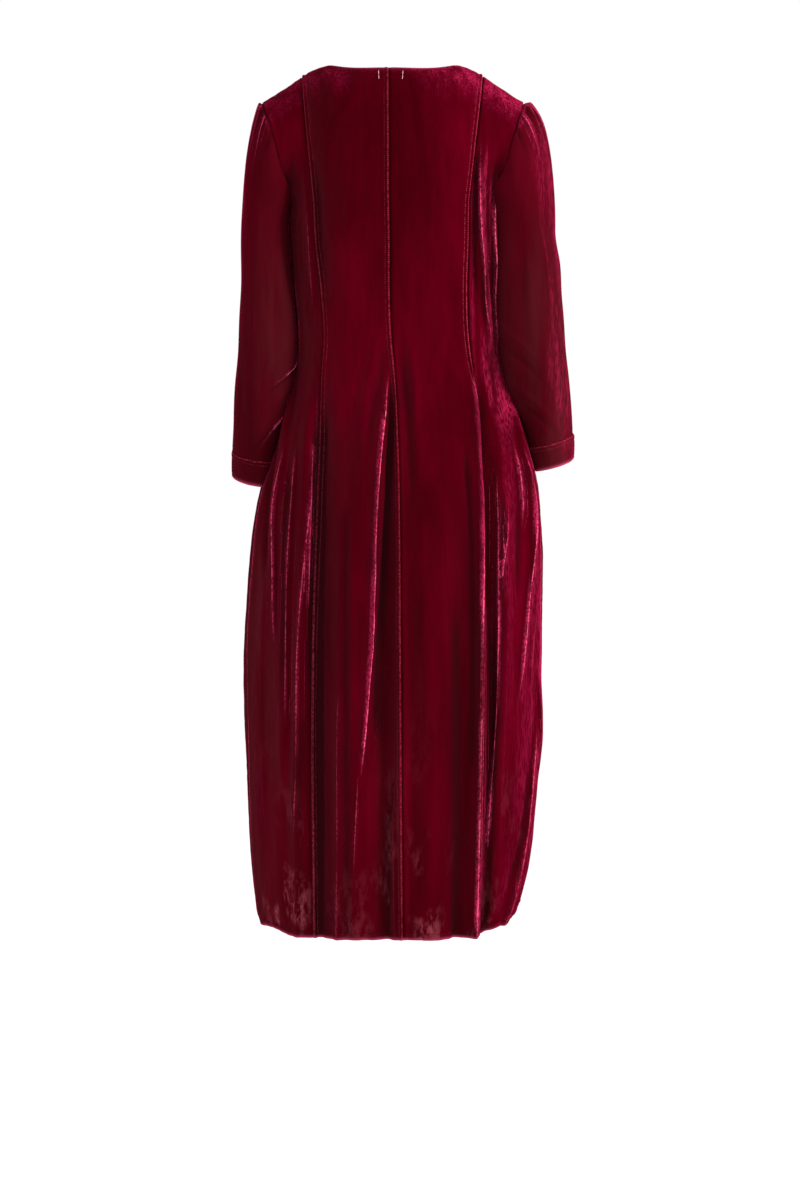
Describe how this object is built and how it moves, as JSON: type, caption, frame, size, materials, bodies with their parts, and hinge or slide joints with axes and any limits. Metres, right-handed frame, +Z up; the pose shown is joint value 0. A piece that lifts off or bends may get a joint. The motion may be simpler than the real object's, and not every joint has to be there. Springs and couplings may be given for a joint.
{
  "type": "long-sleeved velvet midi dress, worn form",
  "caption": "Long-sleeved velvet midi dress, hollow and standing as worn, with a panelled back, gathered sleeve heads, cuff bands and a softly pleated skirt.",
  "frame": {"origin": "midway between the shoulders, at the height where the neckline meets the shoulder seams", "axes": "+Z up, front faces -Y, the wearer's left is +X"},
  "size_m": [0.478, 0.2903, 1.205],
  "materials": {
    "velvet": "deep crimson velvet with a pink sheen"
  },
  "bodies": {
    "root": {"centre_back_left": "velvet", "centre_back_right": "velvet", "side_back_left": "velvet", "side_back_right": "velvet", "front": "velvet", "sleeve_left": "velvet", "sleeve_right": "velvet", "cuff_left": "velvet", "cuff_right": "velvet"}
  },
  "joints": []
}
